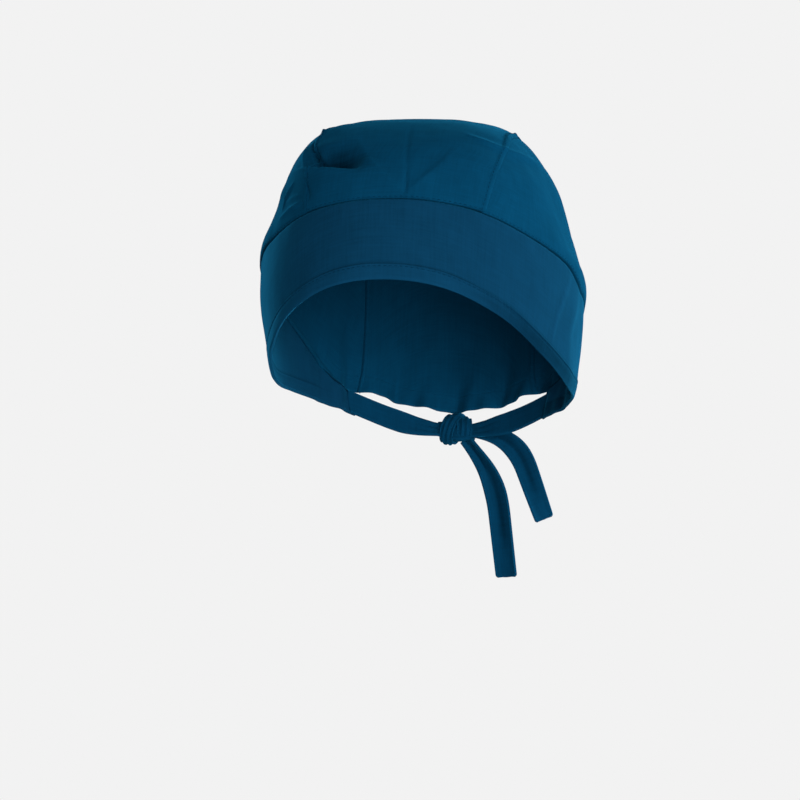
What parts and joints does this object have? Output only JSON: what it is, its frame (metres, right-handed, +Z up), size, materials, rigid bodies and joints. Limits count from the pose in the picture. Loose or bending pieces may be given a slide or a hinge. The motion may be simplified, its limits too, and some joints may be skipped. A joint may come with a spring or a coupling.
{
  "type": "scrub cap",
  "caption": "Tie-back cloth cap with a deep doubled brow band, a panelled crown and two flat ties knotted at the nape, in the shape it has when worn.",
  "frame": {"origin": "centre of the head opening, level with the rim over the ears", "axes": "+Z up to the top of the crown, -Y towards the brow, +X to the wearer's left"},
  "size_m": [0.1679, 0.194, 0.2525],
  "materials": {
    "band_cloth": "matt plain-weave cotton and polyester",
    "crown_cloth": "matt plain-weave cotton and polyester",
    "tie_cloth": "matt plain-weave cotton and polyester"
  },
  "bodies": {
    "root": {"brow_band": "band_cloth", "crown_centre_panel": "crown_cloth", "crown_side_left": "crown_cloth", "crown_side_right": "crown_cloth", "tie_left": "tie_cloth", "tie_right": "tie_cloth", "tie_knot": "tie_cloth", "tail_left": "tie_cloth", "tail_right": "tie_cloth"}
  },
  "joints": []
}
